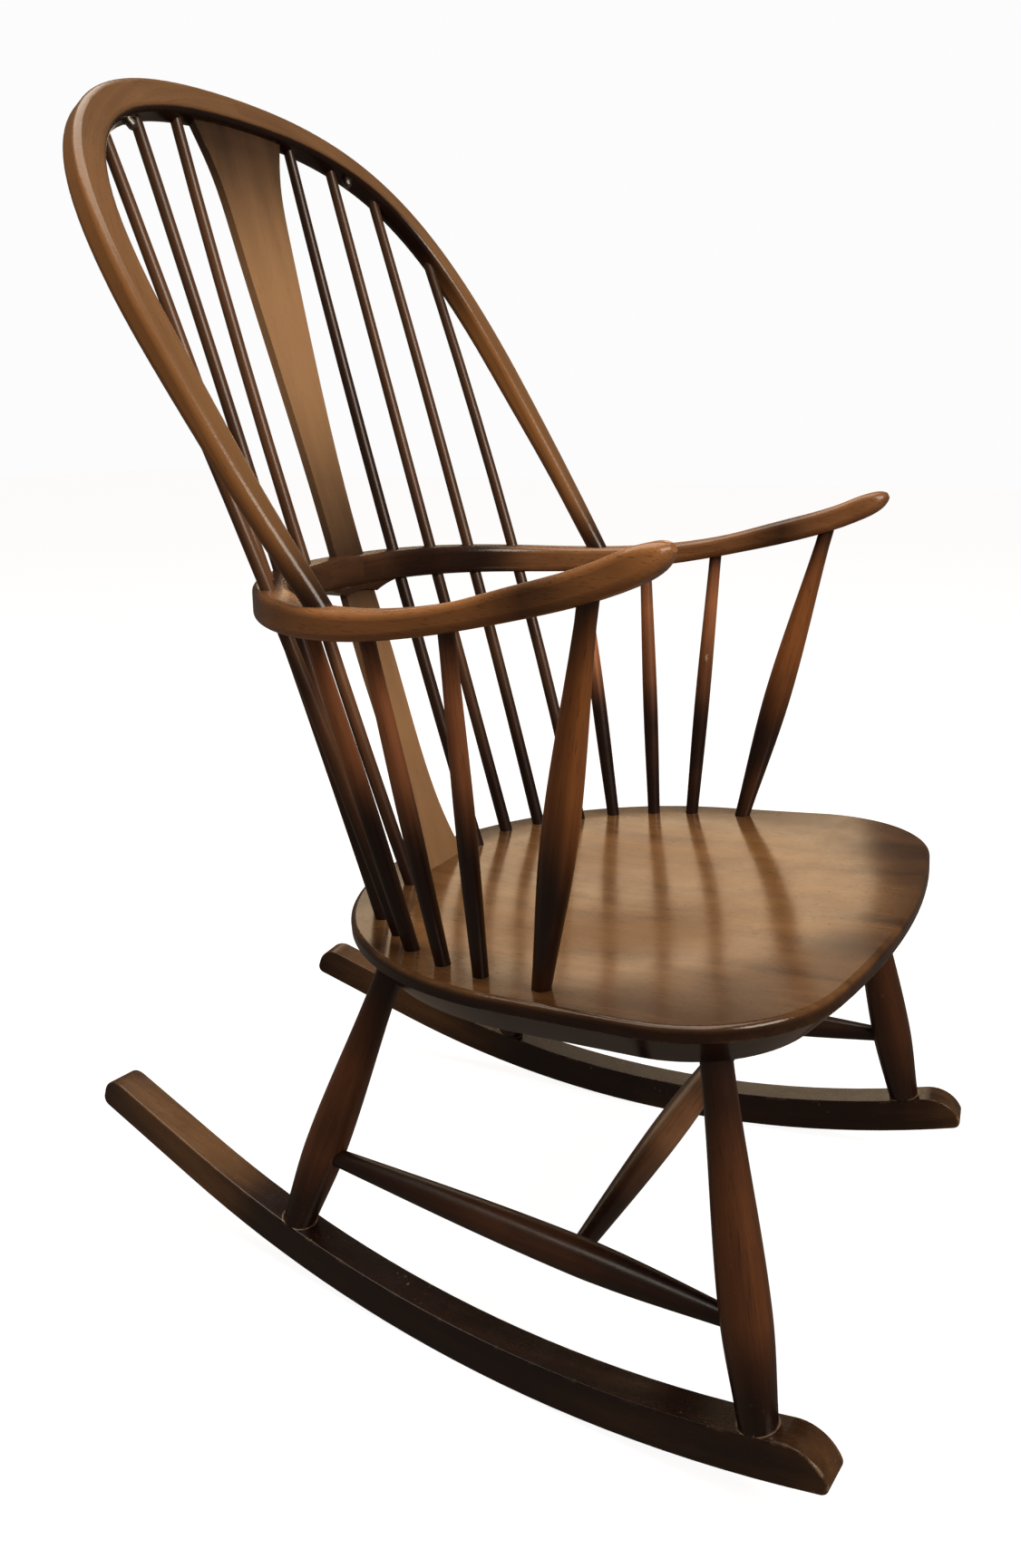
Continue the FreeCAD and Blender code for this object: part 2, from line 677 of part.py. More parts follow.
def arm_stick(index, growth, floor):
    foot = seat_foot(ARM_STICK_ANGLES[index], ARM_STICK_INSET)
    top = bow_centre(bow_share_of_depth(ARM_STICK_BOW_SHARES[index]))
    return arm_post(foot, top, ARM_STICK_END_DIAMETER, ARM_STICK_DIAMETER, growth, floor)


def arm_support(growth, floor):
    foot = seat_foot(SUPPORT_ANGLE, SUPPORT_INSET)
    top = bow_centre(bow_share_of_depth(SUPPORT_BOW_SHARE))
    return arm_post(foot, top, SUPPORT_END_DIAMETER, SUPPORT_DIAMETER, growth, floor)


# ---------------------------------------------------------------- rockers
def rocker_x(y):
    """Centre line of the left blade in plan: the blades close towards the back."""
    return ROCKER_SPREAD - (y - CONTACT_Y) * math.tan(math.radians(ROCKER_TOE_IN))


def rocker_top(y):
    """Height of the blade's top edge above the floor at y."""
    run = (y - CONTACT_Y) / math.cos(math.radians(ROCKER_TOE_IN))
    inner = ROCKER_RADIUS - ROCKER_DEPTH
    return ROCKER_RADIUS - math.sqrt(inner * inner - run * run)


def rocker_blade(width, ease):
    """Left blade: an even arc with a round nose, then a straight tail of the same depth."""
    half_run = ROCKER_LENGTH / 2
    offset = CONTACT_Y / math.cos(math.radians(ROCKER_TOE_IN))
    front = -half_run - offset
    rear = half_run - offset
    bend = rear - ROCKER_TAIL

    def arc_point(radius, along):
        return Vector(0, along, ROCKER_RADIUS - math.sqrt(radius * radius - along * along))

    top_radius = ROCKER_RADIUS - ROCKER_DEPTH
    share = top_radius / ROCKER_RADIUS
    slope = math.asin(bend / ROCKER_RADIUS)
    tail = Vector(0, ROCKER_TAIL, ROCKER_TAIL * math.tan(slope))
    nose_low = arc_point(ROCKER_RADIUS, front)
    nose_high = arc_point(top_radius, front * share)
    bend_low = arc_point(ROCKER_RADIUS, bend)
    bend_high = arc_point(top_radius, bend * share)
    tail_low = bend_low + tail
    tail_high = bend_high + tail
    bottom = Part.Arc(nose_low, Vector(0, 0, 0), bend_low).toShape()
    top = Part.Arc(bend_high, Vector(0, 0, ROCKER_DEPTH), nose_high).toShape()
    outline = [bottom, Part.makeLine(bend_low, tail_low), Part.makeLine(tail_low, tail_high),
               Part.makeLine(tail_high, bend_high), top, Part.makeLine(nose_high, nose_low)]
    blade = Part.Face(Part.Wire(outline)).extrude(Vector(width, 0, 0))
    blade.translate(Vector(-width / 2, 0, 0))
    rounds = ((nose_high, ROCKER_FRONT_ROUND), (nose_low, ROCKER_HEEL_ROUND),
              (tail_high, ROCKER_REAR_ROUND), (tail_low, ROCKER_HEEL_ROUND))
    for corner, radius in rounds:
        edges = [edge for edge in blade.Edges if edge.BoundBox.XLength > width - 0.01
                 and abs(edge.BoundBox.Center.y - corner.y) < 0.5
                 and abs(edge.BoundBox.Center.z - corner.z) < 0.5]
        blade = blade.makeFillet(radius, edges)
    if ease > 0:
        sides = [edge for edge in blade.Edges if edge.BoundBox.XLength < 0.001]
        blade = blade.makeFillet(ease, sides)
    blade.rotate(Vector(0, 0, 0), UP, ROCKER_TOE_IN)
    blade.translate(Vector(ROCKER_SPREAD, CONTACT_Y, 0))
    return blade


# ---------------------------------------------------------------- legs and stretchers
def leg_ends(row):
    """Where the left leg's axis meets the seat's underside and the rocker's top."""
    if row == "front":
        seat_x = SEAT_HALF_WIDTH - FRONT_LEG_SIDE_INSET
        seat_y = SEAT_FRONT_Y + FRONT_LEG_END_INSET
        foot_y = seat_y - FRONT_LEG_REACH
    else:
        seat_x = SEAT_HALF_WIDTH - REAR_LEG_SIDE_INSET
        seat_y = SEAT_REAR_Y - REAR_LEG_END_INSET
        foot_y = seat_y + REAR_LEG_REACH
    head = Vector(seat_x, seat_y, seat_height(seat_y) - SEAT_THICKNESS)
    foot = Vector(rocker_x(foot_y), foot_y, rocker_top(foot_y))
    return head, foot


def leg_blank(row, growth, floor):
    """Turned leg: slim in the seat, swelled at the stretcher, eased to the foot."""
    head, foot = leg_ends(row)
    heading = (head - foot).normalize()
    start = foot - heading * (ROCKER_DEPTH / 2)
    end = head + heading * (LEG_SOCKET_DEPTH + floor)
    total = (end - start).Length
    toe = LEG_FOOT_DIAMETER / 2 + growth
    swell = LEG_SWELL_DIAMETER / 2 + growth
    neck = LEG_TOP_DIAMETER / 2 + growth
    shoulder = 1 - (LEG_SOCKET_DEPTH + floor) / total
    return turned(start, end, ((0, toe), (0.31, swell), (shoulder, neck), (1, neck)), 0)


def foot_tenon(row, growth, floor):
    head, foot = leg_ends(row)
    heading = (head - foot).normalize()
    bottom = foot - heading * (ROCKER_TENON_LENGTH + floor)
    return rod(bottom, foot + heading * 5, ROCKER_TENON_DIAMETER / 2 + growth)


def leg_point(row, height):
    """Point on a leg's axis at a height above the floor."""
    head, foot = leg_ends(row)
    return foot + (head - foot) * ((height - foot.z) / (head.z - foot.z))


def stretcher(start, end, diameter, peak, sink, growth, floor):
    """Turned stretcher swelled at the peak share; its ends sink into the pieces it joins."""
    heading = (end - start).normalize()
    length = (end - start).Length
    start = start - heading * (sink + floor)
    end = end + heading * (sink + floor)
    total = (end - start).Length
    shoulder = (sink + floor) / total
    middle = shoulder + peak * length / total
    thin = STRETCHER_END_DIAMETER / 2 + growth
    swell = diameter / 2 + growth
    knots = ((0, thin), (shoulder, thin), (middle, swell), (1 - shoulder, thin), (1, thin))
    return turned(start, end, knots, 0.45)


def side_stretcher_axis():
    """Points where the left stretcher's axis meets the surfaces of its two legs."""
    front = leg_point("front", SIDE_STRETCHER_FRONT_HEIGHT)
    rear = leg_point("rear", SIDE_STRETCHER_REAR_HEIGHT)
    heading = (rear - front).normalize()
    reach = LEG_SWELL_DIAMETER / 2
    return front + heading * reach, rear - heading * reach


def side_stretcher(growth, floor):
    """Left stretcher, thickest where the cross stretcher enters it."""
    front, rear = side_stretcher_axis()
    return stretcher(front, rear, SIDE_STRETCHER_DIAMETER, CROSS_STRETCHER_SHARE,
                     STRETCHER_SOCKET_DEPTH, growth, floor)


def cross_stretcher(growth, floor):
    front, rear = side_stretcher_axis()
    left = front + (rear - front) * CROSS_STRETCHER_SHARE
    reach = SIDE_STRETCHER_DIAMETER / 2
    start = Vector(-left.x + reach, left.y, left.z)
    end = Vector(left.x - reach, left.y, left.z)
    return stretcher(start, end, CROSS_STRETCHER_DIAMETER, 0.5, CROSS_SOCKET_DEPTH,
                     growth, floor)


# ---------------------------------------------------------------- cushion studs
def stud_axis():
    """Point on the hoop's inner face where the left stud sits, and the way it points."""
    t = hoop_share_of_width(STUD_HOOP_SHARE)
    inward = HOOP_NORMAL.cross(hoop_direction(t)).normalize()
    return hoop_centre(t) + inward * (hoop_width(t) / 2), inward


def stud_shank(growth, floor):
    face, inward = stud_axis()
    return rod(face - inward * (STUD_SHANK_LENGTH + floor), face + inward * STUD_COLLAR_HEIGHT,
               STUD_SHANK_DIAMETER / 2 + growth)


def stud():
    """Round metal stud: shank in the hoop, collar on its face, post with a domed end."""
    face, inward = stud_axis()
    post_top = face + inward * (STUD_COLLAR_HEIGHT + STUD_POST_HEIGHT)
    collar = rod(face, face + inward * STUD_COLLAR_HEIGHT, STUD_COLLAR_DIAMETER / 2)
    post = rod(face, post_top, STUD_DIAMETER / 2)
    dome = Part.makeSphere(STUD_DIAMETER / 2, post_top)
    return stud_shank(0, 0).fuse([collar, post, dome]).removeSplitter()


# ---------------------------------------------------------------- assembly
def sticks_and_supports(growth, floor):
    """All upright turned pieces of the left side, by name."""
    pieces = {}
    for index in range(len(LONG_STICK_ANGLES)):
        pieces["long_stick_%%s_%d" % (index + 1)] = long_stick(index, growth, floor)
    for index in range(len(ARM_STICK_ANGLES)):
        pieces["arm_stick_%%s_%d" % (index + 1)] = arm_stick(index, growth, floor)
    pieces["arm_support_%s"] = arm_support(growth, floor)
    return pieces


def underframe():
    """Legs, stretchers and rockers; also the cutters for the legs' sockets in the seat."""
    parts = {}
    cross_socket = cross_stretcher(GLUE_GAP, SOCKET_FLOOR)
    parts["cross_stretcher"] = cross_stretcher(0, 0)
    stretcher_socket = side_stretcher(GLUE_GAP, SOCKET_FLOOR)
    side_piece = side_stretcher(0, 0).cut(cross_socket)
    rocker = rocker_blade(ROCKER_WIDTH, ROCKER_EASE)
    seating = rocker_blade(2 * ROCKER_WIDTH, 0)
    seat_cuts = []
    for row in ("front", "rear"):
        leg = leg_blank(row, 0, 0).cut(seating)
        leg = max(leg.Solids, key=lambda solid: solid.CenterOfMass.z)
        leg = leg.fuse(foot_tenon(row, 0, 0)).cut(stretcher_socket)
        rocker = rocker.cut(foot_tenon(row, GLUE_GAP, SOCKET_FLOOR))
        seat_cuts += both_sides(leg_blank(row, GLUE_GAP, SOCKET_FLOOR)).values()
        for name, piece in both_sides(leg).items():
            parts["leg_%s_%s" % (row, name)] = piece
    for name, piece in both_sides(rocker).items():
        parts["rocker_%s" % name] = piece
    for name, piece in both_sides(side_piece).items():
        parts["side_stretcher_%s" % name] = piece
    return parts, seat_cuts


def build_parts():
    parts, seat_cuts = underframe()
    bow = bow_blank()
    hoop = hoop_blank().cut(bow)
    hoop = max(hoop.Solids, key=lambda solid: solid.Volume)
    hoop = hoop.fuse(list(both_sides(hoop_tenon(0, 0)).values()))

    parts["splat"] = splat_solid(0, 0)
    splat_slot = splat_solid(GLUE_GAP, SOCKET_FLOOR)
    seat_cuts.append(splat_slot)
    bow_cuts = [splat_slot] + list(both_sides(hoop_tenon(GLUE_GAP, SOCKET_FLOOR)).values())
    hoop_cuts = [splat_slot] + list(both_sides(stud_shank(GLUE_GAP, SOCKET_FLOOR)).values())
    for label, piece in sticks_and_supports(0, 0).items():
        for name, shape in both_sides(piece).items():
            parts[label % name] = shape
    for label, piece in sticks_and_supports(GLUE_GAP, SOCKET_FLOOR).items():
        sockets = list(both_sides(piece).values())
        seat_cuts += sockets
        bow_cuts += sockets
        if label.startswith("long"):
            hoop_cuts += sockets
    for name, shape in both_sides(stud()).items():
        parts["stud_%s" % name] = shape

    parts["seat"] = seat_blank().cut(seat_cuts)
    parts["arm_bow"] = bow.cut(bow_cuts)
    parts["back_hoop"] = hoop.cut(hoop_cuts)
    return parts


def write_parts(parts):
    os.makedirs("parts", exist_ok=True)
    for name, shape in sorted(parts.items()):
        solids = shape.Solids
        print("%-20s solids %d valid %s volume %.1f cm3" %
              (name, len(solids), shape.isValid(), shape.Volume / 1000))
        solids[0].exportStep("parts/%s.step" % name)


write_parts(build_parts())
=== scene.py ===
import math

import bpy
import numpy as np
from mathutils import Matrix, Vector

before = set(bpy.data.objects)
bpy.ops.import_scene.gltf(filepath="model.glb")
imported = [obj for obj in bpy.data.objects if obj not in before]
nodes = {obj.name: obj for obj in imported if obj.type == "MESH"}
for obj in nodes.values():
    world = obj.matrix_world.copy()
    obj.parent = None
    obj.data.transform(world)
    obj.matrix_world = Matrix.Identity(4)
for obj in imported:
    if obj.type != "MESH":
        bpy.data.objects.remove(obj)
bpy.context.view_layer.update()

# ---------------------------------------------------------------- camera, light and floor
CAMERA_PLACE = (-0.968, -0.506, 0.763)
CAMERA_PITCH = 16.6
CAMERA_YAW = -61.6
CAMERA_LENS = 28.09
CAMERA_SENSOR = 36.0

camera_data = bpy.data.cameras.new("camera")
camera_data.lens = CAMERA_LENS
camera_data.sensor_width = CAMERA_SENSOR
camera = bpy.data.objects.new("camera", camera_data)
camera.location = CAMERA_PLACE
camera.rotation_euler = (math.radians(90.0 - CAMERA_PITCH), 0.0, math.radians(CAMERA_YAW))
bpy.context.scene.collection.objects.link(camera)
bpy.context.scene.camera = camera


def area_light(name, place, target, size, power, colour):
    """Soft rectangular light at a place, turned towards its target."""
    data = bpy.data.lights.new(name, "AREA")
    data.shape = "RECTANGLE"
    data.size, data.size_y = size
    data.energy = power
    data.color = colour
    lamp = bpy.data.objects.new(name, data)
    lamp.location = place
    aim = Vector(target) - Vector(place)
    lamp.rotation_euler = aim.to_track_quat("-Z", "Y").to_euler()
    bpy.context.scene.collection.objects.link(lamp)


SEAT_MIDDLE = (0.0, 0.0, 0.37)
area_light("window", (-1.0, -2.7, 2.7), (0.0, 0.0, 0.6), (1.8, 1.5), 66.0, (1.0, 0.89, 0.76))
area_light("ceiling", (0.0, 0.5, 3.1), (0.0, 0.05, 0.4), (2.6, 2.6), 60.0, (1.0, 0.91, 0.79))
# The seat mirrors these two strips on the far wall as a warm band and a fainter one.
area_light("far_wall_low", (2.9, 1.7, 1.50), SEAT_MIDDLE, (2.6, 0.38), 6.0, (1.0, 0.73, 0.45))
area_light("far_wall_high", (2.9, 1.7, 1.98), SEAT_MIDDLE, (2.6, 0.50), 2.1, (1.0, 0.80, 0.58))

bpy.context.scene.view_settings.view_transform = "Standard"
world = bpy.data.worlds.new("studio")
bpy.context.scene.world = world
world.use_nodes = True
background = world.node_tree.nodes["Background"]
background.inputs["Color"].default_value = (1.0, 0.76, 0.58, 1.0)
background.inputs["Strength"].default_value = 0.12


def stage_mesh(name, corners, faces, glow, albedo):
    """Pale studio surface: it glows evenly for the camera and throws no light back."""
    material = bpy.data.materials.new(name)
    material.use_nodes = True
    shader = material.node_tree.nodes["Principled BSDF"]
    shader.inputs["Base Color"].default_value = (albedo, albedo, albedo, 1.0)
    shader.inputs["Roughness"].default_value = 0.9
    shader.inputs["Specular IOR Level"].default_value = 0.0
    shader.inputs["Emission Color"].default_value = (1.0, 1.0, 1.0, 1.0)
    shader.inputs["Emission Strength"].default_value = glow
    mesh = bpy.data.meshes.new(name)
    mesh.from_pydata(corners, [], faces)
    mesh.materials.append(material)
    obj = bpy.data.objects.new(name, mesh)
    obj.visible_diffuse = False
    obj.visible_glossy = False
    obj.visible_shadow = False
    bpy.context.scene.collection.objects.link(obj)


ROOM = 14.0
floor_corners = [(-ROOM, -ROOM, 0.0), (ROOM, -ROOM, 0.0), (ROOM, ROOM, 0.0), (-ROOM, ROOM, 0.0)]
high_corners = [(x, y, ROOM) for x, y, _ in floor_corners]
low_corners = [(x, y, -ROOM) for x, y, _ in floor_corners]
stage_mesh("floor", floor_corners, [(0, 1, 2, 3)], 0.93, 0.4)
stage_mesh("backdrop", low_corners + high_corners,
           [(0, 1, 5, 4), (1, 2, 6, 5), (2, 3, 7, 6), (3, 0, 4, 7), (4, 5, 6, 7), (0, 3, 2, 1)],
           0.975, 0.0)


# ---------------------------------------------------------------- node helpers
class Tree:
    """Short calls for building one material's node tree."""

    def __init__(self, name):
        self.material = bpy.data.materials.new(name)
        self.material.use_nodes = True
        self.tree = self.material.node_tree
        self.shader = self.tree.nodes["Principled BSDF"]

    def node(self, kind, **settings):
        made = self.tree.nodes.new(kind)
        for key, value in settings.items():
            setattr(made, key, value)
        return made

    def feed(self, socket, value):
        if isinstance(value, bpy.types.NodeSocket):
            self.tree.links.new(value, socket)
        else:
            socket.default_value = value

    def math(self, operation, first, second=None, third=None):
        made = self.node("ShaderNodeMath", operation=operation)
        for socket, value in zip(made.inputs, (first, second, third)):
            if value is not None:
                self.feed(socket, value)
        return made.outputs[0]

    def vector(self, operation, first, second=None):
        made = self.node("ShaderNodeVectorMath", operation=operation)
        self.feed(made.inputs[0], first)
        if second is not None:
            self.feed(made.inputs[1], second)
        return made.outputs["Value" if operation in ("LENGTH", "DOT_PRODUCT") else "Vector"]

    def combine(self, x, y, z):
        made = self.node("ShaderNodeCombineXYZ")
        for socket, value in zip(made.inputs, (x, y, z)):
            self.feed(socket, value)
        return made.outputs[0]

    def split(self, vector):
        made = self.node("ShaderNodeSeparateXYZ")
        self.feed(made.inputs[0], vector)
        return made.outputs

    def noise(self, vector, scale, detail=4.0, rough=0.55, distortion=0.0):
        made = self.node("ShaderNodeTexNoise")
        self.feed(made.inputs["Vector"], vector)
        self.feed(made.inputs["Scale"], scale)
        self.feed(made.inputs["Detail"], detail)
        self.feed(made.inputs["Roughness"], rough)
        self.feed(made.inputs["Distortion"], distortion)
        return made.outputs[0]

    def ramp(self, value, stops):
        made = self.node("ShaderNodeValToRGB")
        self.feed(made.inputs[0], value)
        elements = made.color_ramp.elements
        while len(elements) < len(stops):
            elements.new(0.5)
        for element, (place, colour) in zip(elements, stops):
            element.position = place
            element.color = (*colour, 1.0) if isinstance(colour, tuple) else (colour,) * 3 + (1.0,)
        return made.outputs[0]

    def span(self, value, low, high, start=0.0, end=1.0, soft=False):
        made = self.node("ShaderNodeMapRange",
                         interpolation_type="SMOOTHSTEP" if soft else "LINEAR")
        for socket, number in zip(made.inputs, (value, low, high, start, end)):
            self.feed(socket, number)
        return made.outputs[0]

    def mix(self, share, first, second, blend="MIX"):
        made = self.node("ShaderNodeMix", data_type="RGBA", blend_type=blend)
        self.feed(made.inputs[0], share)
        self.feed(made.inputs[6], first)
        self.feed(made.inputs[7], second)
        return made.outputs[2]


# ---------------------------------------------------------------- grain directions
BEND_MEAN_RADIUS = 0.25
SIDE_STEP = 3.0  # keeps the figure of the left and right halves apart


def along_axis(tree, place, origin, axis):
    """Grain coordinates of a straight piece: two across its axis and one along it."""
    axis = Vector(axis).normalized()
    side = axis.orthogonal().normalized()
    other = axis.cross(side)
    local = tree.vector("SUBTRACT", place, origin)
    return tree.combine(tree.vector("DOT_PRODUCT", local, tuple(side)),
                        tree.vector("DOT_PRODUCT", local, tuple(other)),
                        tree.vector("DOT_PRODUCT", local, tuple(axis)))


def around_bend(tree, first, second, third, turn):
    """Grain coordinates of a bend: straight below the turn height and round above it."""
    above = tree.math("MAXIMUM", tree.math("SUBTRACT", second, turn), 0.0)
    below = tree.math("MINIMUM", tree.math("SUBTRACT", second, turn), 0.0)
    radius = tree.math("SQRT", tree.math("ADD", tree.math("MULTIPLY", first, first),
                                         tree.math("MULTIPLY", above, above)))
    angle = tree.math("ARCTAN2", above, tree.math("ABSOLUTE", first))
    along = tree.math("ADD", tree.math("MULTIPLY", angle, BEND_MEAN_RADIUS), below)
    side = tree.math("MULTIPLY", tree.math("SIGN", first), SIDE_STEP)
    return tree.combine(radius, third, tree.math("ADD", along, side))


# ---------------------------------------------------------------- wood finish, painted light and painted shade
BLACK = (0.0085, 0.0027, 0.0022, 1.0)
WORN_BLACK = (0.024, 0.0072, 0.0042, 1.0)
BARE = (0.50, 0.35, 0.22, 1.0)
# painted light: the amber below lifts the faces picked by painted_light_of
PAINTED_LIGHT_AMBER = (0.52, 0.21, 0.055, 1.0)
SEED_STEP = (1.37, 0.73, 2.11)
FIGURE_RUN = 2.4
FINE_GRAIN = (520.0, 520.0, 11.0)
PORE_GRAIN = (900.0, 900.0, 26.0)
ARRIS_RADIUS = 0.004
ARRIS_TURN = (0.965, 0.87)
SPECULAR_LEVEL = 0.5
COAT_WEIGHT = 0.12
COAT_ROUGHNESS = 0.12
RELIEF_STRENGTH = 0.05
RELIEF_DISTANCE = 0.0004
ARRIS_CHIPS = (0.50, 0.66)
SPECK_SIZES = (0.69, 0.73)
SPECK_PATCHES = (0.57, 0.63)


def lacquered_wood(name, grain_of, seed, clear, shade_of, streak=60.0, wear=0.35, specks=0.0,
                   gloss=(0.20, 0.32), patchy=0.18, bare_of=None, painted_light_of=None, pore_depth=0.5):
    """Shaded dark lacquer: clear brown in the open, sprayed near-black by the joints.

    clear holds the light and dark tone of the figure; shade_of says where the spray is dark and,
    on the seat and the bow, where shade is painted; painted_light_of says where painted light
    turns faces amber, bare_of where the wood is bare, and wear how rubbed the arrises are.
    """
    tree = Tree(name)
    place = tree.node("ShaderNodeTexCoord").outputs["Object"]
    grain = tree.vector("ADD", grain_of(tree, place), tuple(seed * step for step in SEED_STEP))
    broad = tree.noise(tree.vector("MULTIPLY", grain, (streak, streak, FIGURE_RUN)), 1.0, 3.0,
                       0.55, 0.4)
    fine = tree.noise(tree.vector("MULTIPLY", grain, FINE_GRAIN), 1.0, 3.0, 0.6)
    pores = tree.span(tree.noise(tree.vector("MULTIPLY", grain, PORE_GRAIN), 1.0, 2.0, 0.5),
                      0.60, 0.72)
    cloud = tree.noise(tree.vector("ADD", place, (seed, 0.0, 0.0)), 7.0, 3.0, 0.55)
    light, dark = clear
    figure = tree.span(tree.math("ADD", tree.math("MULTIPLY", broad, 0.7),
                                 tree.math("MULTIPLY", fine, 0.3)), 0.30, 0.70)
    colour = tree.mix(figure, (*dark, 1.0), (*light, 1.0))
    # painted light: painted_light_of lifts the faces it picks towards amber
    if painted_light_of is not None:
        colour = tree.mix(painted_light_of(tree, place), colour, PAINTED_LIGHT_AMBER)
    # shade_of darkens towards sprayed black; on the seat and the bow it also carries painted shade
    shade = tree.math("ADD", shade_of(tree, place),
                      tree.span(cloud, 0.30, 0.70, -patchy, patchy))
    shade = tree.math("ADD", shade, tree.span(broad, 0.30, 0.70, patchy * 0.4, -patchy * 0.4))
    shaded = tree.mix(figure, BLACK, WORN_BLACK)
    colour = tree.mix(tree.span(shade, 0.0, 1.0, 0.0, 1.0, True), colour, shaded)
    colour = tree.mix(tree.math("MULTIPLY", pores, pore_depth), colour, BLACK)
    rounded = tree.node("ShaderNodeBevel", samples=4)
    rounded.inputs["Radius"].default_value = ARRIS_RADIUS
    geometry = tree.node("ShaderNodeNewGeometry")
    turn = tree.vector("DOT_PRODUCT", rounded.outputs[0], geometry.outputs["Normal"])
    chips = tree.span(tree.noise(place, 55.0, 5.0, 0.7), *ARRIS_CHIPS)
    bare = tree.math("MULTIPLY", tree.span(turn, *ARRIS_TURN), chips)
    bare = tree.math("MULTIPLY", bare, wear(tree, place) if callable(wear) else wear)
    if specks > 0.0:
        dots = tree.span(tree.noise(place, 230.0, 2.0, 0.5), *SPECK_SIZES)
        where = tree.span(tree.noise(place, 13.0, 2.0, 0.5), *SPECK_PATCHES)
        bare = tree.math("ADD", bare, tree.math("MULTIPLY", tree.math("MULTIPLY", dots, where),
                                                specks))
    if bare_of is not None:
        bare = tree.math("ADD", bare, bare_of(tree, place))
    colour = tree.mix(bare, colour, BARE)
    tree.feed(tree.shader.inputs["Base Color"], colour)
    scuff = tree.noise(place, 38.0, 4.0, 0.65)
    tree.feed(tree.shader.inputs["Roughness"],
              tree.span(tree.math("ADD", scuff, tree.math("MULTIPLY", fine, 0.3)), 0.35, 0.95,
                        *gloss))
    tree.shader.inputs["Specular IOR Level"].default_value = SPECULAR_LEVEL
    tree.shader.inputs["Coat Weight"].default_value = COAT_WEIGHT
    tree.shader.inputs["Coat Roughness"].default_value = COAT_ROUGHNESS
    bump = tree.node("ShaderNodeBump")
    bump.inputs["Strength"].default_value = RELIEF_STRENGTH
    bump.inputs["Distance"].default_value = RELIEF_DISTANCE
    tree.feed(bump.inputs["Height"], tree.math("SUBTRACT", tree.math("MULTIPLY", fine, 0.5),
                                               tree.math("MULTIPLY", pores, 0.6)))
    tree.feed(tree.shader.inputs["Normal"], bump.outputs[0])
    return tree.material


END_RING = 0.001


def principal_axis(obj):
    """Lower end, direction and length of a straight node, read from its own end rings."""
    count = len(obj.data.vertices)
    points = np.zeros(count * 3)
    obj.data.vertices.foreach_get("co", points)
    points = points.reshape(-1, 3)
    middle = points.mean(0)
    direction = np.linalg.svd(points - middle, full_matrices=False)[2][0]
    if direction[2] < 0.0:
        direction = -direction
    along = (points - middle) @ direction
    low = points[along < along.min() + END_RING].mean(0)
    high = points[along > along.max() - END_RING].mean(0)
    length = float(np.linalg.norm(high - low))
    return tuple(low), tuple((high - low) / length), length


def give(obj, material):
    """Put one material on a node in place of whatever it had."""
    obj.data.materials.clear()
    obj.data.materials.append(material)


# ---------------------------------------------------------------- forms that steer the grain
ROCKER_RADIUS = 1.029
CONTACT_Y = -0.066
BOW_TURN_Y = -0.08
SEAT_HALF_WIDTH = 0.262
SEAT_HALF_DEPTH = 0.25
SEAT_CENTRE_Y = -0.10
HOOP_TILT = math.radians(33.7)
HOOP_FOOT = (0.0, 0.045, 0.6318)
HOOP_SHOULDER = 0.2254
HOOP_CENTRE = tuple(Vector(HOOP_FOOT) + HOOP_SHOULDER * Vector(
    (0.0, math.sin(HOOP_TILT), math.cos(HOOP_TILT))))


def seat_grain(tree, place):
    x, y, z = tree.split(place)
    drift = tree.noise(tree.combine(tree.math("MULTIPLY", x, 3.0), y, 0.0), 1.3, 2.0, 0.5)
    return tree.combine(tree.math("ADD", x, tree.math("MULTIPLY", drift, 0.05)),
                        tree.math("MULTIPLY", z, 2.0), y)


def bow_grain(tree, place):
    x, y, z = tree.split(place)
    return around_bend(tree, x, y, z, BOW_TURN_Y)


def hoop_local(tree, place):
    """Coordinates in the hoop's leaning plane: up along it and out of it."""
    up = (0.0, math.sin(HOOP_TILT), math.cos(HOOP_TILT))
    out = (0.0, -math.cos(HOOP_TILT), math.sin(HOOP_TILT))
    local = tree.vector("SUBTRACT", place, HOOP_FOOT)
    return tree.vector("DOT_PRODUCT", local, up), tree.vector("DOT_PRODUCT", local, out)


def hoop_grain(tree, place):
    up, out = hoop_local(tree, place)
    return around_bend(tree, tree.split(place)[0], up, out, HOOP_SHOULDER)


def rocker_grain(tree, place):
    x, y, z = tree.split(place)
    run = tree.math("SUBTRACT", y, CONTACT_Y)
    rise = tree.math("SUBTRACT", ROCKER_RADIUS, z)
    radius = tree.math("SQRT", tree.math("ADD", tree.math("MULTIPLY", run, run),
                                         tree.math("MULTIPLY", rise, rise)))
    return tree.combine(x, radius, run)


def splat_grain(tree, place):
    x, y, z = tree.split(place)
    return tree.combine(x, tree.math("MULTIPLY", y, 0.3), z)


# ---------------------------------------------------------------- where the lacquer is darker and where shade is painted
def bands(tree, value, stops):
    """Shade along one coordinate, given as (place, shade) pairs in rising order."""
    first, last = stops[0][0], stops[-1][0]
    scaled = tree.span(value, first, last)
    return tree.ramp(scaled, [((place - first) / (last - first), shade) for place, shade in stops])


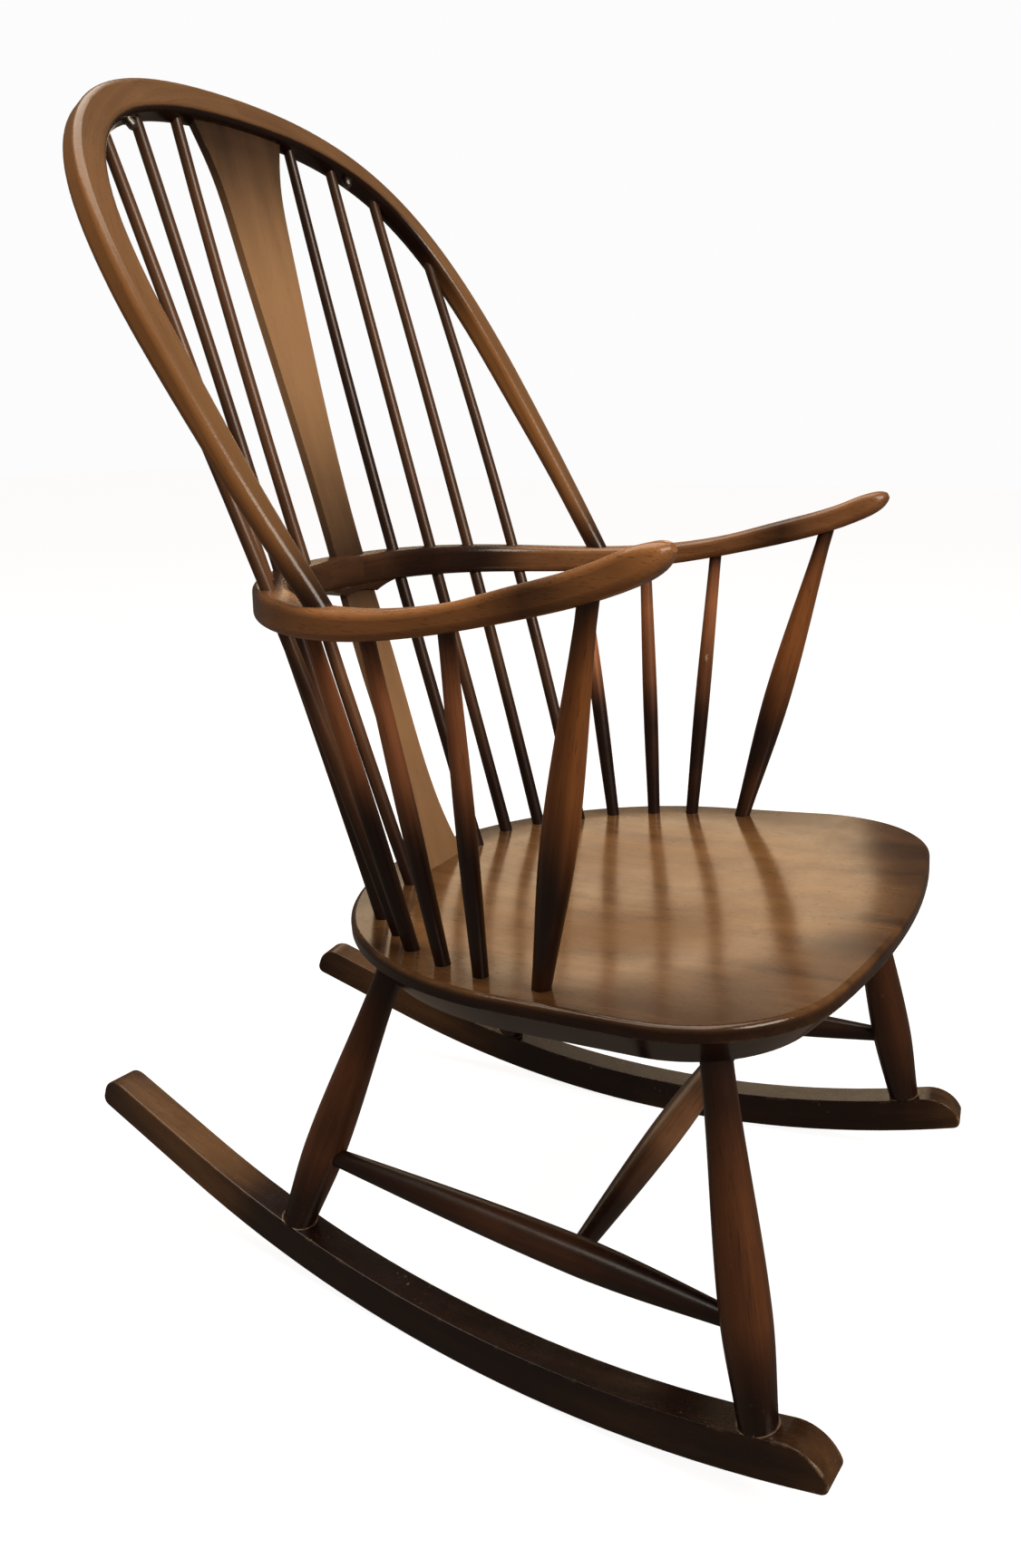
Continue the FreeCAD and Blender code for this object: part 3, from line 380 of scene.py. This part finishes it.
def seat_rim_and_painted_shade(tree, place):
    """The seat darkens towards its rim; the darkening underneath and on faces turned away from
    upward is painted shade.
    """
    x, y, z = tree.split(place)
    side = tree.math("DIVIDE", x, SEAT_HALF_WIDTH)
    run = tree.math("DIVIDE", tree.math("ADD", y, -SEAT_CENTRE_Y), SEAT_HALF_DEPTH)
    reach = tree.math("SQRT", tree.math("ADD", tree.math("MULTIPLY", side, side),
                                        tree.math("MULTIPLY", run, run)))
    rim = tree.span(reach, 0.50, 1.05, 0.0, 0.62, True)
    # painted shade: the underside and the faces turned away from upward are darkened
    under = tree.span(z, 0.315, 0.350, 0.75, 0.0)
    facing = tree.split(tree.node("ShaderNodeNewGeometry").outputs["Normal"])[2]
    edge = tree.span(facing, 0.75, 0.15, 0.0, 0.30)
    return tree.math("ADD", rim, tree.math("ADD", under, edge))


def bow_joints_and_painted_shade(tree, place):
    """The bow is dark over the supports and across the back rail; its far arm has painted shade.
    """
    x, y, _ = tree.split(place)
    along = bands(tree, y, ((-0.25, 0.25), (-0.21, 0.05), (-0.15, 0.60), (-0.10, 0.15),
                            (0.03, 0.12), (0.10, 0.35), (0.14, 0.85), (0.20, 0.90)))
    # painted shade: the far (left, +x) arm is darkened
    return tree.math("ADD", along, tree.span(x, 0.15, 0.26, 0.0, 0.22))


def painted_light_outer_sides(tree, place):
    """Painted light: the outer faces of the bow's arms are painted a warmer, lit-looking tone."""
    facing = tree.split(tree.node("ShaderNodeNewGeometry").outputs["Normal"])[0]
    outward = tree.math("MULTIPLY", tree.math("SIGN", tree.split(place)[0]), facing)
    return tree.span(outward, 0.40, 0.85, 0.0, 0.45)


def painted_light_hoop_sides(tree, place):
    """Painted light: the hoop's flat sides are painted warmer than its front and top."""
    facing = tree.split(tree.node("ShaderNodeNewGeometry").outputs["Normal"])[0]
    return tree.span(tree.math("ABSOLUTE", facing), 0.45, 0.85, 0.0, 0.42)


def hoop_shade(tree, place):
    """The hoop is dark at its feet and on its inner face near the top."""
    up = hoop_local(tree, place)[0]
    along = bands(tree, up, ((0.0, 0.85), (0.06, 0.30), (0.16, 0.0), (0.34, 0.10), (0.47, 0.35)))
    normal = tree.node("ShaderNodeNewGeometry").outputs["Normal"]
    outward = tree.vector("NORMALIZE", tree.vector("SUBTRACT", place, HOOP_CENTRE))
    inward = tree.span(tree.vector("DOT_PRODUCT", outward, normal), -0.35, -0.75)
    return tree.math("ADD", along, tree.math("MULTIPLY", inward,
                                             tree.span(up, 0.26, 0.38, 0.0, 0.85)))


def splat_shade(tree, place):
    """The splat is dark where it meets the bow and the hoop."""
    return bands(tree, tree.split(place)[2], ((0.36, 0.42), (0.47, 0.28), (0.56, 0.40),
                                              (0.62, 0.85), (0.70, 0.55), (0.79, 0.15),
                                              (0.86, 0.0), (0.94, 0.45), (1.00, 0.80)))


def rocker_shade(tree, place):
    """The rockers are near-black under the legs and clear on the tail."""
    return bands(tree, tree.split(place)[1], ((-0.38, 0.45), (-0.32, 0.90), (0.08, 1.0),
                                              (0.17, 0.75), (0.25, 0.15), (0.33, 0.40),
                                              (0.38, 0.80)))


def turned_shade(low, direction, length, stops):
    """Shade along a straight piece; the stops are shares of its length from its lower end."""
    def shade(tree, place):
        along = tree.vector("DOT_PRODUCT", tree.vector("SUBTRACT", place, low), direction)
        return bands(tree, along, [(share * length, value) for share, value in stops])
    return shade


def rocker_wear(tree, place):
    """The arrises are knocked bare at the toe and lightly rubbed elsewhere."""
    return tree.span(tree.split(place)[1], -0.335, -0.365, 0.50, 3.0)


CHIPPED = "arm_stick_left_3"
CHIP_HEIGHT = 0.61
CHIP_SIDE = Vector((-0.92, -0.39, 0.0))
CHIP_REACH = 0.0065
CHIP_STRETCH = (1.0, 1.0, 0.35)
RING_START = (0.0148, 0.0152)
RING_END = (0.0162, 0.0166)


def stick_chip(tree, place):
    """One small fleck knocked off a far arm stick."""
    low, direction, length = AXES[CHIPPED]
    centre = Vector(low) + Vector(direction) * (CHIP_HEIGHT * length) + CHIP_SIDE * CHIP_REACH
    local = tree.vector("SUBTRACT", place, tuple(centre))
    local = tree.vector("MULTIPLY", local, CHIP_STRETCH)
    ragged = tree.span(tree.noise(place, 420.0, 3.0, 0.6), 0.3, 0.7, -0.0012, 0.0012)
    away = tree.math("ADD", tree.vector("LENGTH", local), ragged)
    return tree.span(away, 0.0011, 0.0018, 1.6, 0.0)


def foot_rings(tree, place):
    """Thin bare glue line where each leg stands on the rocker."""
    total = None
    for name in ("leg_front_left", "leg_front_right", "leg_rear_left", "leg_rear_right"):
        low, direction, _ = AXES[name]
        offset = tree.vector("CROSS_PRODUCT", tree.vector("SUBTRACT", place, low), direction)
        away = tree.vector("LENGTH", offset)
        ring = tree.math("MULTIPLY", tree.span(away, *RING_START),
                         tree.span(away, *RING_END, 1.0, 0.0))
        total = ring if total is None else tree.math("ADD", total, ring)
    broken = tree.span(tree.noise(place, 60.0, 3.0, 0.6), 0.36, 0.50, 0.0, 0.6)
    facing = tree.split(tree.node("ShaderNodeNewGeometry").outputs["Normal"])[2]
    return tree.math("MULTIPLY", tree.math("MULTIPLY", total, broken),
                     tree.span(facing, 0.80, 0.92))


# ---------------------------------------------------------------- tones of each piece
TURNED = [name for name in sorted(nodes)
          if name.split("_")[0] in ("long", "arm", "leg", "side", "cross") and name != "arm_bow"]
AXES = {name: principal_axis(nodes[name]) for name in TURNED}
STOPS = {
    "long": ((0.0, 1.0), (0.07, 1.0), (0.20, 0.65), (0.30, 0.30), (0.36, 0.75), (0.46, 0.45),
             (0.80, 0.25), (1.0, 0.60)),
    "arm_stick": ((0.0, 1.0), (0.38, 1.0), (0.62, 0.40), (0.80, 0.05), (0.93, 0.50), (1.0, 0.9)),
    "arm_support": ((0.0, 1.0), (0.28, 1.0), (0.48, 0.45), (0.64, 0.0), (0.82, 0.35), (1.0, 1.0)),
    "leg": ((0.0, 0.95), (0.12, 0.80), (0.32, 0.35), (0.60, 0.30), (0.85, 0.75), (1.0, 0.95)),
    "stretcher": ((0.0, 0.95), (0.2, 0.8), (0.5, 0.45), (0.8, 0.8), (1.0, 0.95)),
}
CLEAR = {
    "seat": ((0.285, 0.138, 0.050), (0.140, 0.062, 0.021)),
    "bow": ((0.500, 0.228, 0.088), (0.330, 0.142, 0.055)),
    "hoop": ((0.290, 0.148, 0.062), (0.230, 0.112, 0.046)),
    "splat": ((0.520, 0.300, 0.148), (0.465, 0.262, 0.128)),
    "rocker": ((0.240, 0.120, 0.045), (0.130, 0.060, 0.024)),
    "long": ((0.180, 0.080, 0.035), (0.100, 0.042, 0.018)),
    "arm_stick": ((0.600, 0.228, 0.094), (0.355, 0.135, 0.055)),
    "arm_support": ((0.380, 0.135, 0.036), (0.225, 0.078, 0.022)),
    "leg": ((0.210, 0.074, 0.025), (0.115, 0.040, 0.015)),
    "stretcher": ((0.150, 0.058, 0.025), (0.085, 0.034, 0.015)),
    "cross": ((0.600, 0.285, 0.130), (0.360, 0.168, 0.080)),
}
TONES = {"long_stick_left_1": 0.35, "long_stick_left_4": 0.80, "long_stick_right_1": 1.60,
         "long_stick_right_3": 1.40, "long_stick_right_4": 1.40, "leg_front_left": 0.65,
         "arm_stick_left_1": 1.25}

give(nodes["seat"], lacquered_wood("seat_wood", seat_grain, 1.0, CLEAR["seat"], seat_rim_and_painted_shade,
                                   34.0, 0.5, gloss=(0.13, 0.22), patchy=0.15))
give(nodes["arm_bow"], lacquered_wood("bow_wood", bow_grain, 2.0, CLEAR["bow"], bow_joints_and_painted_shade,
                                      60.0, 0.4, patchy=0.14, painted_light_of=painted_light_outer_sides))
give(nodes["back_hoop"], lacquered_wood("hoop_wood", hoop_grain, 3.0, CLEAR["hoop"], hoop_shade,
                                        60.0, 0.4, patchy=0.10, painted_light_of=painted_light_hoop_sides,
                                        pore_depth=0.25))
give(nodes["splat"], lacquered_wood("splat_wood", splat_grain, 4.0, CLEAR["splat"], splat_shade,
                                    60.0, 0.3, gloss=(0.30, 0.40), patchy=0.06,
                                    pore_depth=0.15))
for index, name in enumerate(("rocker_left", "rocker_right")):
    give(nodes[name], lacquered_wood(name + "_wood", rocker_grain, 5.0 + index, CLEAR["rocker"],
                                     rocker_shade, 60.0, rocker_wear, 0.5,
                                     bare_of=foot_rings))
for index, name in enumerate(TURNED):
    low, direction, length = AXES[name]
    words = name.split("_")
    kind = "long" if words[0] == "long" else "leg" if words[0] == "leg" else (
        "stretcher" if "stretcher" in words else "_".join(words[:2]))

    def turned_grain(tree, place, low=low, direction=direction):
        return along_axis(tree, place, low, direction)

    specks = 0.2 if kind == "leg" else 0.0
    tone = TONES.get(name, 1.0)
    clear = [tuple(part * tone for part in colour)
             for colour in CLEAR["cross" if words[0] == "cross" else kind]]
    give(nodes[name], lacquered_wood(name + "_wood", turned_grain, 8.0 + index, clear,
                                     turned_shade(low, direction, length, STOPS[kind]), 75.0,
                                     0.25, specks, gloss=(0.26, 0.40),
                                     bare_of=stick_chip if name == CHIPPED else None))

steel = Tree("stud_steel")
steel_place = steel.node("ShaderNodeTexCoord").outputs["Object"]
tarnish = steel.noise(steel_place, 900.0, 3.0, 0.6)
steel.feed(steel.shader.inputs["Base Color"],
           steel.ramp(tarnish, ((0.3, (0.14, 0.13, 0.12)), (0.7, (0.32, 0.30, 0.28)))))
steel.shader.inputs["Metallic"].default_value = 1.0
steel.feed(steel.shader.inputs["Roughness"], steel.span(tarnish, 0.3, 0.7, 0.28, 0.42))
for name in ("stud_left", "stud_right"):
    give(nodes[name], steel.material)
